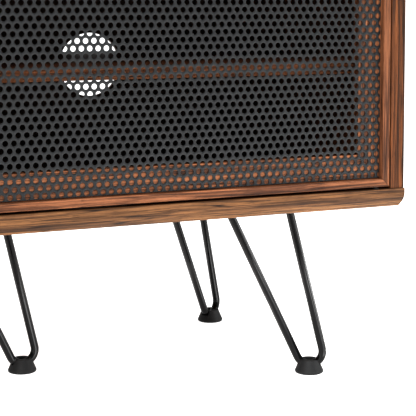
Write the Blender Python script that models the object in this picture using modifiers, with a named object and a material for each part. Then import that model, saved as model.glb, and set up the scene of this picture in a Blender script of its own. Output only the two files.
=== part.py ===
"""A low television cabinet on hairpin legs, with two perforated steel doors.

Metres, +Z up. The front faces -Y, and the origin is on the floor, under the
middle of the whole object with its knobs. A walnut box holds three equal bays.
The outer two have inset doors that swing outwards on pivot pins, and the
middle one is open.
"""
import math

import bmesh
import bpy
from mathutils import Matrix, Vector

MM = 0.001
CLEAR = 0.3 * MM              # gap kept between two pieces that touch
UP, BACK, RIGHT = Vector((0, 0, 1)), Vector((0, 1, 0)), Vector((1, 0, 0))

# Cabinet
WIDTH = 1500 * MM
DEPTH = 388 * MM
LEG_HEIGHT = 190.6 * MM       # floor to the bottom board's underside
INNER_HEIGHT = 262 * MM       # between the bottom and top boards
OUTER_BOARD = 19.6 * MM       # top and bottom boards
PANEL = 17 * MM               # side panels and dividers
EDGE_TAPER = 5 * MM           # how far an outer board's edge curves in at its outer face
EDGE_TAPER_HEIGHT = 14.2 * MM  # and over how much of its thickness
SIDE_SETBACK = 0.9 * MM       # side panel behind the ends of the two boards
DOOR_SETBACK = 1.2 * MM       # door fronts and side panels behind the front of the boards
BACK_THICKNESS = 5 * MM
BACK_INSET = 6.9 * MM         # back panel in from the rear edges
SHELF_THICKNESS = 14 * MM
SHELF_SETBACK = 39 * MM       # shelf front behind the front of the boards
CABLE_GAP = 8 * MM            # between the shelves and the back panels
CABLE_HOLE_RADIUS = 40 * MM
CABLE_HOLE_OFFSET = 28.8 * MM  # outer holes are this far outwards of their bay's middle
CABLE_HOLE_DROP = 8.9 * MM    # holes are this far below the middle of their bay

# Doors
DOOR_SIDE_GAP = 1.5 * MM
DOOR_END_GAP = 2.8 * MM       # above and below a door
DOOR_THICKNESS = 18 * MM
FRAME_WIDTH = 35.5 * MM
LIP_WIDTH = 8.4 * MM          # raised border round the perforated sheet
SHEET_GAP = 1.0 * MM          # between the lip and the sheet's edges
SHEET_SINK = 5.9 * MM         # sheet front behind the lip's front
SHEET_THICKNESS = 1.0 * MM
MITRE_GAP = 0.2 * MM          # taken off each end of a frame member
PIVOT_FROM_EDGE = 14 * MM
PIVOT_FROM_FRONT = 6 * MM
PIN_RADIUS = 2.5 * MM
PIN_IN_BOARD = 8 * MM
PIN_IN_DOOR = 5.5 * MM
PIN_FLANGE_RADIUS = 5 * MM
PIN_FLANGE = 1.2 * MM
BUSH_RADIUS = 4.5 * MM
BUSH_BORE = PIN_RADIUS + 0.2 * MM
BUSH_LENGTH = 6.3 * MM
KNOB_LENGTH = 22 * MM
KNOB_RADIUS = 10 * MM
KNOB_FROM_EDGE = 21 * MM

# Legs
ROD_RADIUS = 4.6 * MM
ROD_SPREAD = 69.5 * MM        # between the two rod tops
BEND_RADIUS = 14.7 * MM       # of the rod's centreline round the foot
PLATE_SIZE = Vector((96, 44, 3)) * MM
PLATE_SCREWS = Vector((74, 28, 0)) * MM
SCREW_HOLE_RADIUS = 2.6 * MM
FOOT_REACH = 58.5 * MM        # foot from the plate's middle, along the plate
FOOT_LEAN = 4.5 * MM          # and square to it, towards the middle of the depth
ROD_LIFT = 9 * MM             # lowest point of the centreline above the floor
CORNER_LEG = Vector((614.3, 105.8, 0)) * MM
CORNER_TURN = math.radians(30.7)
MIDDLE_LEG_X = 318 * MM
FOOT_HEIGHT = 15 * MM
FOOT_RADIUS = 15.9 * MM
COLLAR_RADIUS = 10.8 * MM

# Shelf pins and door catches
SHELF_PIN_RADIUS = 2.5 * MM
SHELF_PIN_IN = 6 * MM
SHELF_PIN_OUT = 8 * MM
SHELF_PIN_DEPTHS = (-100 * MM, 140 * MM)
CATCH_SIZE = Vector((13, 14, 44)) * MM
STRIKE_SIZE = Vector((12, 1.0, 36)) * MM
CATCH_GAP = 0.4 * MM          # between a shut door's strike plate and its catch

ROUND = 32                    # sides of a turned piece

# Worked out from the sizes above
KNOB_STANDOUT = KNOB_LENGTH - SHEET_SINK + CLEAR - DOOR_SETBACK
MIDDLE_Y = KNOB_STANDOUT / 2
FRONT = MIDDLE_Y - DEPTH / 2
REAR = MIDDLE_Y + DEPTH / 2
FLOOR_OF_BODY = LEG_HEIGHT + OUTER_BOARD
ROOF_OF_BODY = FLOOR_OF_BODY + INNER_HEIGHT
MID_HEIGHT = (FLOOR_OF_BODY + ROOF_OF_BODY) / 2
SIDE_INNER = WIDTH / 2 - SIDE_SETBACK - PANEL
BAY_WIDTH = (2 * SIDE_INNER - 2 * PANEL) / 3
DIVIDER_X = BAY_WIDTH / 2 + PANEL / 2
BACK_FRONT = REAR - BACK_INSET - BACK_THICKNESS
DOOR_FRONT = FRONT + DOOR_SETBACK
DOOR_WIDTH = BAY_WIDTH - 2 * DOOR_SIDE_GAP
DOOR_LOW = FLOOR_OF_BODY + DOOR_END_GAP
DOOR_HIGH = ROOF_OF_BODY - DOOR_END_GAP
REBATE = SHEET_SINK + SHEET_THICKNESS + CLEAR


# ---------------------------------------------------------------- helpers

def clear_scene():
    for obj in list(bpy.data.objects):
        bpy.data.objects.remove(obj, do_unlink=True)


def new_collection(name):
    collection = bpy.data.collections.new(name)
    bpy.context.scene.collection.children.link(collection)
    return collection


def make_material(name, colour, roughness, metallic=0.0):
    material = bpy.data.materials.new(name)
    material.use_nodes = True
    shader = material.node_tree.nodes["Principled BSDF"]
    shader.inputs["Base Color"].default_value = (*colour, 1.0)
    shader.inputs["Roughness"].default_value = roughness
    shader.inputs["Metallic"].default_value = metallic
    material.diffuse_color = (*colour, 1.0)
    return material


def add_object(name, mesh, material=None, place=(0, 0, 0), turn=(0, 0, 0), parent=None):
    """Put a mesh into the cabinet's collection at a place given in world coordinates."""
    obj = bpy.data.objects.new(name, mesh)
    (CABINET if material else CUTTERS).objects.link(obj)
    if material:
        mesh.materials.append(material)
    obj.location = Vector(place)
    obj.rotation_euler = turn
    if parent:
        obj.parent = parent
        obj.location -= parent.location
    return obj


def mesh_from(bm, name):
    mesh = bpy.data.meshes.new(name)
    bm.to_mesh(mesh)
    bm.free()
    return mesh


def box_bmesh(size):
    bm = bmesh.new()
    bmesh.ops.create_cube(bm, size=1.0)
    bmesh.ops.scale(bm, vec=size, verts=bm.verts)
    return bm


def box(name, low, high, material, parent=None, rounding=0.4 * MM):
    """A board or block between two corners, its edges slightly eased by a Bevel."""
    low, high = Vector(low), Vector(high)
    mesh = mesh_from(box_bmesh(high - low), name)
    obj = add_object(name, mesh, material, (low + high) / 2, parent=parent)
    if rounding:
        bevel = obj.modifiers.new("eased_edges", "BEVEL")
        bevel.width = rounding
        bevel.segments = 1
    return obj


def make_cutter(name, mesh, place=(0, 0, 0), turn=(0, 0, 0)):
    cutter = add_object(name, mesh, None, place, turn)
    cutter.hide_render = True
    cutter.display_type = "WIRE"
    return cutter


def drill_bits(name, places, axis, radius, length):
    """One cutter holding a cylinder at each place, all along one axis."""
    turn = axis.to_track_quat("Z", "Y").to_matrix().to_4x4()
    bm = bmesh.new()
    for place in places:
        bmesh.ops.create_cone(bm, cap_ends=True, segments=ROUND, radius1=radius, radius2=radius,
                              depth=length, matrix=Matrix.Translation(place) @ turn)
    return make_cutter(name, mesh_from(bm, name))


def boolean(obj, other, operation="DIFFERENCE"):
    modifier = obj.modifiers.new(other.name, "BOOLEAN")
    modifier.operation = operation
    modifier.solver = "EXACT"
    modifier.object = other


def turned(name, profile, material, place, axis=UP, parent=None, closed=False):
    """Turn a profile of (radius, height) points, listed down its outer side, about an axis."""
    bm = bmesh.new()
    points = [bm.verts.new((radius, 0, height)) for radius, height in profile]
    for first, second in zip(points, points[1:]):
        bm.edges.new((first, second))
    if closed:
        bm.edges.new((points[-1], points[0]))
    turn = axis.to_track_quat("Z", "Y").to_euler()
    obj = add_object(name, mesh_from(bm, name), material, place, turn, parent)
    screw = obj.modifiers.new("turning", "SCREW")
    screw.axis = "Z"
    screw.steps = screw.render_steps = ROUND
    screw.use_merge_vertices = True
    screw.merge_threshold = 0.01 * MM
    screw.use_smooth_shade = True
    return obj


def tube_mesh(name, points, radius):
    """A closed tube along a list of points, as a mesh that a Boolean can use."""
    curve = bpy.data.curves.new(name, "CURVE")
    curve.dimensions = "3D"
    curve.bevel_depth = radius
    curve.bevel_resolution = 4
    curve.use_fill_caps = True
    spline = curve.splines.new("POLY")
    spline.points.add(len(points) - 1)
    for target, point in zip(spline.points, points):
        target.co = (*point, 1.0)
    holder = bpy.data.objects.new(name, curve)
    CUTTERS.objects.link(holder)
    evaluated = holder.evaluated_get(bpy.context.evaluated_depsgraph_get())
    mesh = bpy.data.meshes.new_from_object(evaluated)
    bpy.data.objects.remove(holder)
    bm = bmesh.new()
    bm.from_mesh(mesh)
    bmesh.ops.remove_doubles(bm, verts=bm.verts, dist=0.01 * MM)
    bmesh.ops.recalc_face_normals(bm, faces=bm.faces)
    bm.to_mesh(mesh)
    bm.free()
    mesh.materials.clear()
    return mesh


# ---------------------------------------------------------------- cabinet body

def outer_board(name, underside, outward):
    """The top or bottom board, its edge curving in towards the outer face at the front and ends."""
    bm = box_bmesh(Vector((WIDTH, DEPTH, OUTER_BOARD)))
    start = OUTER_BOARD / 2 - EDGE_TAPER_HEIGHT
    steps = 6
    for step in range(steps):
        level = start + EDGE_TAPER_HEIGHT * step / steps
        bmesh.ops.bisect_plane(bm, geom=bm.verts[:] + bm.edges[:] + bm.faces[:],
                               plane_co=(0, 0, outward * level), plane_no=UP)
    for vert in bm.verts:
        share = max(0.0, outward * vert.co.z - start) / EDGE_TAPER_HEIGHT
        inset = EDGE_TAPER * share ** 2
        vert.co.x -= math.copysign(inset, vert.co.x)
        if vert.co.y < 0:
            vert.co.y += inset
    centre = (0, MIDDLE_Y, underside + OUTER_BOARD / 2)
    return add_object(name, mesh_from(bm, name), WALNUT, centre)


def build_body():
    bottom = outer_board("bottom_board", LEG_HEIGHT, -1)
    top = outer_board("top_board", ROOF_OF_BODY, 1)
    low, high = FLOOR_OF_BODY + CLEAR, ROOF_OF_BODY - CLEAR
    for side, word in ((-1, "left"), (1, "right")):
        x = side * (SIDE_INNER + PANEL / 2)
        panel = box(f"side_panel_{word}", (x - PANEL / 2, DOOR_FRONT, low),
                    (x + PANEL / 2, REAR, high), WALNUT)
        x = side * DIVIDER_X
        divider = box(f"divider_{word}", (x - PANEL / 2, DOOR_FRONT, low),
                      (x + PANEL / 2, BACK_FRONT + BACK_THICKNESS, high), WALNUT)
        drill_shelf_holes(panel, side * SIDE_INNER)
        drill_shelf_holes(divider, side * (DIVIDER_X - PANEL / 2), side * (DIVIDER_X + PANEL / 2))
    pivots = [Vector((side * pivot_x(), pivot_y(), 0)) for side in (-1, 1)]
    for board, level in ((bottom, FLOOR_OF_BODY), (top, ROOF_OF_BODY)):
        places = [pivot + level * UP for pivot in pivots]
        depth = 2 * (PIN_IN_BOARD + CLEAR)
        boolean(board, drill_bits(f"{board.name}_pivot_drill", places, UP, PIN_RADIUS + CLEAR, depth))


def drill_shelf_holes(panel, *faces):
    """Holes for the shelf pins in each listed face of a panel."""
    places = [Vector((x, y, shelf_pin_height())) for x in faces for y in SHELF_PIN_DEPTHS]
    depth = 2 * (SHELF_PIN_IN + 2 * CLEAR)
    boolean(panel, drill_bits(f"{panel.name}_drill", places, RIGHT, SHELF_PIN_RADIUS + CLEAR, depth))


def bay_middle(bay):
    """X of the middle of bay -1, 0 or 1."""
    return bay * (BAY_WIDTH + PANEL)


def shelf_pin_height():
    return MID_HEIGHT - SHELF_THICKNESS / 2 - CLEAR - SHELF_PIN_RADIUS


def build_bays():
    """The back panel, the shelf and the shelf's four pins, in each of the three bays."""
    for bay, word in ((-1, "left"), (0, "middle"), (1, "right")):
        middle = bay_middle(bay)
        half = BAY_WIDTH / 2 - CLEAR
        back = box(f"back_panel_{word}",
                   (middle - half, BACK_FRONT, FLOOR_OF_BODY + CLEAR),
                   (middle + half, BACK_FRONT + BACK_THICKNESS, ROOF_OF_BODY - CLEAR),
                   BACK_BOARD, rounding=0)
        hole = Vector((middle + bay * CABLE_HOLE_OFFSET, BACK_FRONT, MID_HEIGHT - CABLE_HOLE_DROP))
        boolean(back, drill_bits(f"cable_cutter_{word}", [hole], BACK, CABLE_HOLE_RADIUS,
                                 4 * BACK_THICKNESS))
        box(f"shelf_{word}",
            (middle - half, FRONT + SHELF_SETBACK, MID_HEIGHT - SHELF_THICKNESS / 2),
            (middle + half, BACK_FRONT - CABLE_GAP, MID_HEIGHT + SHELF_THICKNESS / 2), WALNUT)
        for side, hand in ((-1, "l"), (1, "r")):
            for place, y in zip(("front", "rear"), SHELF_PIN_DEPTHS):
                shelf_pin(f"shelf_pin_{word}_{place}_{hand}", middle, side, y)


def shelf_pin(name, middle, side, y):
    """A steel peg pushed into a panel, lying just under the shelf."""
    length = SHELF_PIN_IN + SHELF_PIN_OUT
    eased = 0.5 * MM
    profile = [(0, length), (SHELF_PIN_RADIUS - eased, length), (SHELF_PIN_RADIUS, length - eased),
               (SHELF_PIN_RADIUS, eased), (SHELF_PIN_RADIUS - eased, 0), (0, 0)]
    start = middle + side * (BAY_WIDTH / 2 + SHELF_PIN_IN)
    turned(name, profile, STEEL, (start, y, shelf_pin_height()), -side * RIGHT)


# ---------------------------------------------------------------- doors

def pivot_x():
    return SIDE_INNER - DOOR_SIDE_GAP - PIVOT_FROM_EDGE


def pivot_y():
    return DOOR_FRONT + PIVOT_FROM_FRONT


def frame_member(name, length, corner, turn, pivot):
    """One side of a door frame: an L section with mitred ends, its outer edge on local X."""
    section = [(0, 0), (LIP_WIDTH, 0), (LIP_WIDTH, REBATE), (FRAME_WIDTH, REBATE),
               (FRAME_WIDTH, DOOR_THICKNESS), (0, DOOR_THICKNESS)]
    bm = bmesh.new()
    start = [bm.verts.new((0, depth, inward)) for inward, depth in section]
    face = bm.faces.new(start)
    grown = bmesh.ops.extrude_face_region(bm, geom=[face])
    moved = [item for item in grown["geom"] if isinstance(item, bmesh.types.BMVert)]
    bmesh.ops.translate(bm, verts=moved, vec=(length, 0, 0))
    for vert in bm.verts:
        mitre = vert.co.z + MITRE_GAP
        vert.co.x += -mitre if vert in moved else mitre
    bmesh.ops.recalc_face_normals(bm, faces=bm.faces)
    return add_object(name, mesh_from(bm, name), WALNUT, corner, turn, pivot)


def build_door(side, word):
    pivot = bpy.data.objects.new(f"door_{word}_pivot", None)
    pivot.location = (side * pivot_x(), pivot_y(), MID_HEIGHT)
    CABINET.objects.link(pivot)

    middle = bay_middle(side)
    left, right = middle - DOOR_WIDTH / 2, middle + DOOR_WIDTH / 2
    stiles = ("hinge", "free") if side < 0 else ("free", "hinge")
    height = DOOR_HIGH - DOOR_LOW
    quarter = math.pi / 2
    bottom = frame_member(f"door_{word}_bottom_rail", DOOR_WIDTH, (left, DOOR_FRONT, DOOR_LOW),
                          (0, 0, 0), pivot)
    top = frame_member(f"door_{word}_top_rail", DOOR_WIDTH, (right, DOOR_FRONT, DOOR_HIGH),
                       (0, 2 * quarter, 0), pivot)
    frame_member(f"door_{word}_{stiles[0]}_stile", height, (left, DOOR_FRONT, DOOR_HIGH),
                 (0, quarter, 0), pivot)
    frame_member(f"door_{word}_{stiles[1]}_stile", height, (right, DOOR_FRONT, DOOR_LOW),
                 (0, -quarter, 0), pivot)

    inset = LIP_WIDTH + SHEET_GAP
    sheet_front = DOOR_FRONT + SHEET_SINK
    box(f"door_{word}_mesh", (left + inset, sheet_front, DOOR_LOW + inset),
        (right - inset, sheet_front + SHEET_THICKNESS, DOOR_HIGH - inset), BLACK_STEEL, pivot,
        rounding=0)

    for rail, level, into, end in ((bottom, DOOR_LOW, UP, "bottom"), (top, DOOR_HIGH, -UP, "top")):
        build_pivot(word, side, end, rail, level, into, pivot)
    build_knob(word, middle - side * (DOOR_WIDTH / 2 - KNOB_FROM_EDGE), pivot)
    build_catch(word, side, pivot)


def build_pivot(word, side, end, rail, level, into, pivot):
    """The flanged pin in the board, and the bush in the door's rail that turns on it."""
    mouth = Vector((side * pivot_x(), pivot_y(), level))
    bore = 2 * (BUSH_LENGTH + 2 * CLEAR)
    boolean(rail, drill_bits(f"{rail.name}_bush_drill", [mouth], UP, BUSH_RADIUS + CLEAR, bore))
    bush = [(BUSH_RADIUS, BUSH_LENGTH), (BUSH_RADIUS, 0), (BUSH_BORE, 0), (BUSH_BORE, BUSH_LENGTH)]
    turned(f"door_{word}_{end}_bush", bush, NYLON, mouth + CLEAR * into, into, pivot, closed=True)

    board_face = -DOOR_END_GAP
    flange = board_face + CLEAR
    pin = [(0, PIN_IN_DOOR), (PIN_RADIUS - 0.5 * MM, PIN_IN_DOOR), (PIN_RADIUS, PIN_IN_DOOR - 0.5 * MM),
           (PIN_RADIUS, flange + PIN_FLANGE), (PIN_FLANGE_RADIUS, flange + PIN_FLANGE),
           (PIN_FLANGE_RADIUS, flange), (PIN_RADIUS, flange),
           (PIN_RADIUS, board_face - PIN_IN_BOARD), (0, board_face - PIN_IN_BOARD)]
    turned(f"pivot_pin_{word}_{end}", pin, STEEL, mouth, into)


def build_knob(word, x, pivot):
    """A small turned knob, its base on the perforated sheet over the free stile."""
    neck, base = 4 * MM, 6.5 * MM
    crown = [(KNOB_RADIUS * math.sin(angle), KNOB_LENGTH - 4 * MM * (1 - math.cos(angle)))
             for angle in (0, math.radians(30), math.radians(55), math.radians(75))]
    profile = crown + [(KNOB_RADIUS, KNOB_LENGTH - 5 * MM), (KNOB_RADIUS * 0.9, KNOB_LENGTH - 9 * MM),
                       (neck, 8 * MM), (neck, 2 * MM), (base, 1.2 * MM), (base, 0), (0, 0)]
    base_y = DOOR_FRONT + SHEET_SINK - CLEAR
    turned(f"door_{word}_knob", profile, BLACK_STEEL, (x, base_y, MID_HEIGHT), -BACK, pivot)


def build_catch(word, side, pivot):
    """A magnet block on the divider, and the steel strike plate on the door's back."""
    inward = DIVIDER_X + PANEL / 2
    rear = DOOR_FRONT + DOOR_THICKNESS

    def span(near, width):
        return sorted((side * (inward + near), side * (inward + near + width)))

    x = span(CLEAR, CATCH_SIZE.x)
    front = rear + CLEAR + STRIKE_SIZE.y + CATCH_GAP
    box(f"magnet_catch_{word}", (x[0], front, MID_HEIGHT - CATCH_SIZE.z / 2),
        (x[1], front + CATCH_SIZE.y, MID_HEIGHT + CATCH_SIZE.z / 2), NYLON)
    x = span(DOOR_SIDE_GAP + CLEAR, STRIKE_SIZE.x)
    box(f"door_{word}_strike", (x[0], rear + CLEAR, MID_HEIGHT - STRIKE_SIZE.z / 2),
        (x[1], rear + CLEAR + STRIKE_SIZE.y, MID_HEIGHT + STRIKE_SIZE.z / 2), STEEL, pivot,
        rounding=0.2 * MM)


# ---------------------------------------------------------------- legs and feet

def tangent_angle(top, centre, side):
    """Direction from the bend's centre to where a straight rod from its top meets the bend."""
    offset = top - centre
    return math.atan2(offset.y, offset.x) + side * math.acos(BEND_RADIUS / offset.length)


def rod_path(side, fore):
    """Centreline of the bent rod, from the inner top round the foot to the outer top."""
    centre = Vector((FOOT_REACH, ROD_LIFT + BEND_RADIUS - LEG_HEIGHT))
    tops = [Vector((end * ROD_SPREAD / 2, -CLEAR - PLATE_SIZE.z)) for end in (-1, 1)]
    into_plate = Vector((0, 0.8 * PLATE_SIZE.z))
    start = tangent_angle(tops[0], centre, 1)
    finish = tangent_angle(tops[1], centre, -1) + 2 * math.pi
    steps = 16
    flat = [tops[0] + into_plate, tops[0]]
    for step in range(steps + 1):
        angle = start + (finish - start) * step / steps
        flat.append(centre + BEND_RADIUS * Vector((math.cos(angle), math.sin(angle))))
    flat += [tops[1], tops[1] + into_plate]
    lowest = ROD_LIFT - LEG_HEIGHT
    return [Vector((side * point.x, -fore * FOOT_LEAN * point.y / lowest, point.y)) for point in flat]


def build_leg(name, plate_centre, turn, side, fore):
    """A hairpin rod welded under a screw plate, and the flared foot on its bend."""
    place = plate_centre + LEG_HEIGHT * UP
    rotation = (0, 0, side * fore * turn)
    path = rod_path(side, fore)

    leg = add_object(f"leg_{name}", tube_mesh(f"leg_{name}", path, ROD_RADIUS), BLACK_STEEL,
                     place, rotation)
    plate_middle = (CLEAR + PLATE_SIZE.z / 2) * UP
    plate = make_cutter(f"plate_{name}", mesh_from(box_bmesh(PLATE_SIZE), "plate"),
                        place - plate_middle, rotation)
    boolean(leg, plate, "UNION")
    holes = [Vector((x * PLATE_SCREWS.x / 2, y * PLATE_SCREWS.y / 2, 0)) - plate_middle
             for x in (-1, 1) for y in (-1, 1)]
    drill = drill_bits(f"plate_drill_{name}", holes, UP, SCREW_HOLE_RADIUS, 3 * PLATE_SIZE.z)
    drill.location, drill.rotation_euler = place, rotation
    boolean(leg, drill)

    offset = Vector((side * FOOT_REACH, -fore * FOOT_LEAN, 0))
    offset.rotate(Matrix.Rotation(rotation[2], 3, "Z"))
    foot = turned(f"foot_{name}", foot_profile(), RUBBER, plate_centre + offset)
    rod = tube_mesh(f"rod_cutter_{name}", path, ROD_RADIUS + CLEAR)
    boolean(foot, make_cutter(f"rod_cutter_{name}", rod, place, rotation))
    slot_size = Vector((4 * COLLAR_RADIUS, 2 * (ROD_RADIUS + CLEAR), FOOT_HEIGHT))
    slot_centre = plate_centre + offset + (ROD_LIFT + FOOT_HEIGHT / 2) * UP
    boolean(foot, make_cutter(f"slot_{name}", mesh_from(box_bmesh(slot_size), "slot"),
                              slot_centre, rotation))


def foot_profile():
    """A straight-sided skirt that widens from the collar down to a rounded rim."""
    rim, eased = 2.4 * MM, 0.6 * MM
    return [(0, FOOT_HEIGHT), (COLLAR_RADIUS - eased, FOOT_HEIGHT),
            (COLLAR_RADIUS, FOOT_HEIGHT - eased), (FOOT_RADIUS, rim),
            (FOOT_RADIUS - 0.3 * MM, 1 * MM), (FOOT_RADIUS - 1.4 * MM, 0), (0, 0)]


def build_legs():
    for side, word in ((-1, "left"), (1, "right")):
        for fore, end in ((-1, "front"), (1, "rear")):
            corner = Vector((side * CORNER_LEG.x, MIDDLE_Y + fore * CORNER_LEG.y, 0))
            build_leg(f"{end}_{word}", corner, CORNER_TURN, side, fore)
        build_leg(f"middle_{word}", Vector((side * MIDDLE_LEG_X, MIDDLE_Y, 0)), 0, side, -1)


clear_scene()
CABINET = new_collection("tv_cabinet")
CUTTERS = new_collection("cutters")
WALNUT = make_material("walnut_laminate", (0.285, 0.133, 0.072), 0.45)
BACK_BOARD = make_material("back_board", (0.110, 0.060, 0.036), 0.6)
BLACK_STEEL = make_material("black_steel", (0.022, 0.023, 0.024), 0.45, 0.6)
RUBBER = make_material("black_rubber", (0.020, 0.020, 0.021), 0.6)
STEEL = make_material("plain_steel", (0.55, 0.55, 0.55), 0.35, 1.0)
NYLON = make_material("black_nylon", (0.030, 0.030, 0.032), 0.5)

build_body()
build_bays()
build_door(-1, "left")
build_door(1, "right")
build_legs()
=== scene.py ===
"""The looks of the television cabinet: real perforations, walnut grain, welded legs, hardware."""
import math
import random

import bmesh
import bpy
from mathutils import Matrix, Vector


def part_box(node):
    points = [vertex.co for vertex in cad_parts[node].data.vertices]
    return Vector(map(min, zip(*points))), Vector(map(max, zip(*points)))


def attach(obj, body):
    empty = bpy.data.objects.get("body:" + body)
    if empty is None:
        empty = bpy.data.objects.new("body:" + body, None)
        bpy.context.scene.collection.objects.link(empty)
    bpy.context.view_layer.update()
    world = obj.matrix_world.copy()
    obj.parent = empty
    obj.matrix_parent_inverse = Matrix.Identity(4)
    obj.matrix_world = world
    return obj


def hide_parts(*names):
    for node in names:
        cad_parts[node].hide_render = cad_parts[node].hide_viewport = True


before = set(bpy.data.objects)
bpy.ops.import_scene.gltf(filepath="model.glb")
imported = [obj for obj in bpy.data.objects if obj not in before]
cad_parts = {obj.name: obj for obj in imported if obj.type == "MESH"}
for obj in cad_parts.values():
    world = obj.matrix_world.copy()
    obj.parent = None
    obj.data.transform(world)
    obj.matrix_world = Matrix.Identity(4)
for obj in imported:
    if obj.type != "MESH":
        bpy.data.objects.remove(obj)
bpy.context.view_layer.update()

MM = 0.001
RIGHT, BACK, UP = Vector((1, 0, 0)), Vector((0, 1, 0)), Vector((0, 0, 1))
SIDES = ((-1, "left"), (1, "right"))
BAYS = ((-1, "left"), (0, "middle"), (1, "right"))

# Sizes that the CAD model is made to, which the frame's boxes don't give
EDGE_RADIUS = 0.35 * MM        # eased edges of the laminated boards
EDGE_TAPER = 5 * MM            # how far an outer board's edge curves in at its outer face
EDGE_TAPER_HEIGHT = 14.2 * MM  # and over how much of its thickness
LIP_WIDTH = 8.4 * MM           # raised border of a door frame
SHEET_GAP = 0.3 * MM           # between the sheet's back and the ledge behind it
MITRE_GAP = 0.15 * MM          # each end of a frame member is cut back by this
CABLE_HOLE_RADIUS = 40 * MM
CABLE_HOLE_OFFSET = 28.8 * MM  # from a side bay's middle, towards its side panel
CABLE_HOLE_DROP = 8.9 * MM     # below the bay's middle

# The perforated sheet: round holes on a triangular grid
PITCH = 8.6 * MM
HOLE_RADIUS = 2.93 * MM
ROLLOVER_WIDTH = 0.46 * MM     # the punch's rounding of a hole's front edge
ROLLOVER_DEPTH = 0.20 * MM
HOLE_SIDES = 12                # a multiple of the six sides of a cell
FIRST_HOLE = Vector((7.8, 3.57)) * MM   # in from the sheet's hinge edge and up from its foot

# Hairpin legs
ROD_RADIUS = 4.6 * MM
ROD_SPREAD = 69.5 * MM         # between the two rod tops
BEND_RADIUS = 14.7 * MM        # of the rod's centreline round the foot
ROD_LIFT = 9 * MM              # lowest point of the centreline above the floor
FOOT_REACH = 58.5 * MM         # foot from the plate's middle, along the plate
FOOT_LEAN = 4.5 * MM           # and square to it, towards the middle of the depth
CORNER_TURN = math.radians(30.7)
PLATE_SIZE = Vector((96, 44, 3)) * MM
PLATE_SCREWS = Vector((74, 28, 0)) * MM
PLATE_GAP = 0.05 * MM          # between a plate and the bottom board
COLLAR_RADIUS = 10.8 * MM      # top of a foot
SLOT_CLEARANCE = 0.3 * MM      # between a rod and the slot in its foot

# Door hardware
PIN_RADIUS = 2.5 * MM
PIN_FLANGE = 1.2 * MM          # thickness of a pin's collar, between its board and its door
BUSH_BORE = 2.7 * MM           # radius

ROUND = 48                     # sides of a turned piece, unless it gives its own
CREASE = math.radians(35)      # edges that turn more than this are shaded sharp
DICE = random.Random(7)


# -------- meshes and pieces

def link(obj):
    bpy.context.scene.collection.objects.link(obj)
    return obj


def mesh_of(bm):
    """The mesh of a bmesh, which is freed."""
    mesh = bpy.data.meshes.new("part")
    bm.to_mesh(mesh)
    bm.free()
    return mesh


def piece_from(bm, name, material, body, replaced=()):
    """Turn a bmesh in world coordinates into a finished piece that rides on a body."""
    bmesh.ops.recalc_face_normals(bm, faces=bm.faces)
    return piece_of(mesh_of(bm), name, material, body, replaced)


def piece_of(mesh, name, material, body, replaced=()):
    """Turn a mesh in world coordinates into a finished piece that rides on a body."""
    mesh.name = name
    mesh.materials.clear()
    mesh.materials.append(material)
    obj = link(bpy.data.objects.new(name, mesh))
    mesh.shade_smooth()
    mesh.set_sharp_from_angle(angle=CREASE)
    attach(obj, body)
    if replaced:
        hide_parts(*replaced)
    return obj


def board_piece(mesh, node, material, body="carcass"):
    """A walnut piece in place of a CAD board, its flat faces kept flat in the light."""
    board = piece_of(mesh, f"{node}_finished", material, body, [node])
    modifier = board.modifiers.new("weighted_normals", "WEIGHTED_NORMAL")
    modifier.keep_sharp = True
    modifier.weight = 100
    return board


def ease(bm, edges, radius, segments=2):
    """Round edges over by a bevel."""
    bmesh.ops.bevel(bm, geom=list(edges), offset=radius, segments=segments, profile=0.5,
                    affect="EDGES")


def box_bmesh(low, high, radius=0.0, segments=2):
    """A box between two corners, its edges eased if a radius is given."""
    low, high = Vector(low), Vector(high)
    bm = bmesh.new()
    bmesh.ops.create_cube(bm, size=1.0)
    bmesh.ops.scale(bm, vec=high - low, verts=bm.verts)
    bmesh.ops.translate(bm, vec=(low + high) / 2, verts=bm.verts)
    if radius:
        ease(bm, bm.edges, radius, segments)
    return bm


def bisect(bm, place, normal, **options):
    """Cut a bmesh through along a plane."""
    bmesh.ops.bisect_plane(bm, geom=bm.verts[:] + bm.edges[:] + bm.faces[:], plane_co=place,
                           plane_no=normal, **options)


def extruded(bm, faces):
    """Extrude faces in place, and return the new vertices."""
    grown = bmesh.ops.extrude_face_region(bm, geom=faces)["geom"]
    return [item for item in grown if isinstance(item, bmesh.types.BMVert)]


def plate_bmesh(size, corner, edge):
    """A plate centred on the origin, its upright corners rounded widely and its edges slightly."""
    half = Vector(size) / 2
    bm = box_bmesh(-half, half)
    ease(bm, [e for e in bm.edges if abs(e.verts[0].co.z - e.verts[1].co.z) > half.z], corner, 8)
    ease(bm, [e for e in bm.edges if e.calc_face_angle(0) > math.radians(60)], edge)
    return bm


def cylinder_bmesh(places, axis, radius, length, sides=ROUND):
    """Separate cylinders, each centred on a place, all along one axis."""
    turn = axis.to_track_quat("Z", "Y").to_matrix().to_4x4()
    bm = bmesh.new()
    for place in places:
        bmesh.ops.create_cone(bm, cap_ends=True, segments=sides, radius1=radius, radius2=radius,
                              depth=length, matrix=Matrix.Translation(place) @ turn)
    return bm


def turned_bmesh(profile, matrix=Matrix.Identity(4), sides=ROUND, closed=False):
    """Spin a profile of (radius, height) points round the Z axis, then move it by a matrix."""
    bm = bmesh.new()
    points = [bm.verts.new((radius, 0, height)) for radius, height in profile]
    pairs = list(zip(points, points[1:])) + ([(points[-1], points[0])] if closed else [])
    edges = [bm.edges.new(pair) for pair in pairs]
    bmesh.ops.spin(bm, geom=points + edges, cent=(0, 0, 0), axis=UP, angle=2 * math.pi,
                   steps=sides, use_merge=True, use_duplicate=False)
    bmesh.ops.remove_doubles(bm, verts=bm.verts, dist=0.002 * MM)
    bmesh.ops.recalc_face_normals(bm, faces=bm.faces)
    bm.transform(matrix)
    return bm


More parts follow.
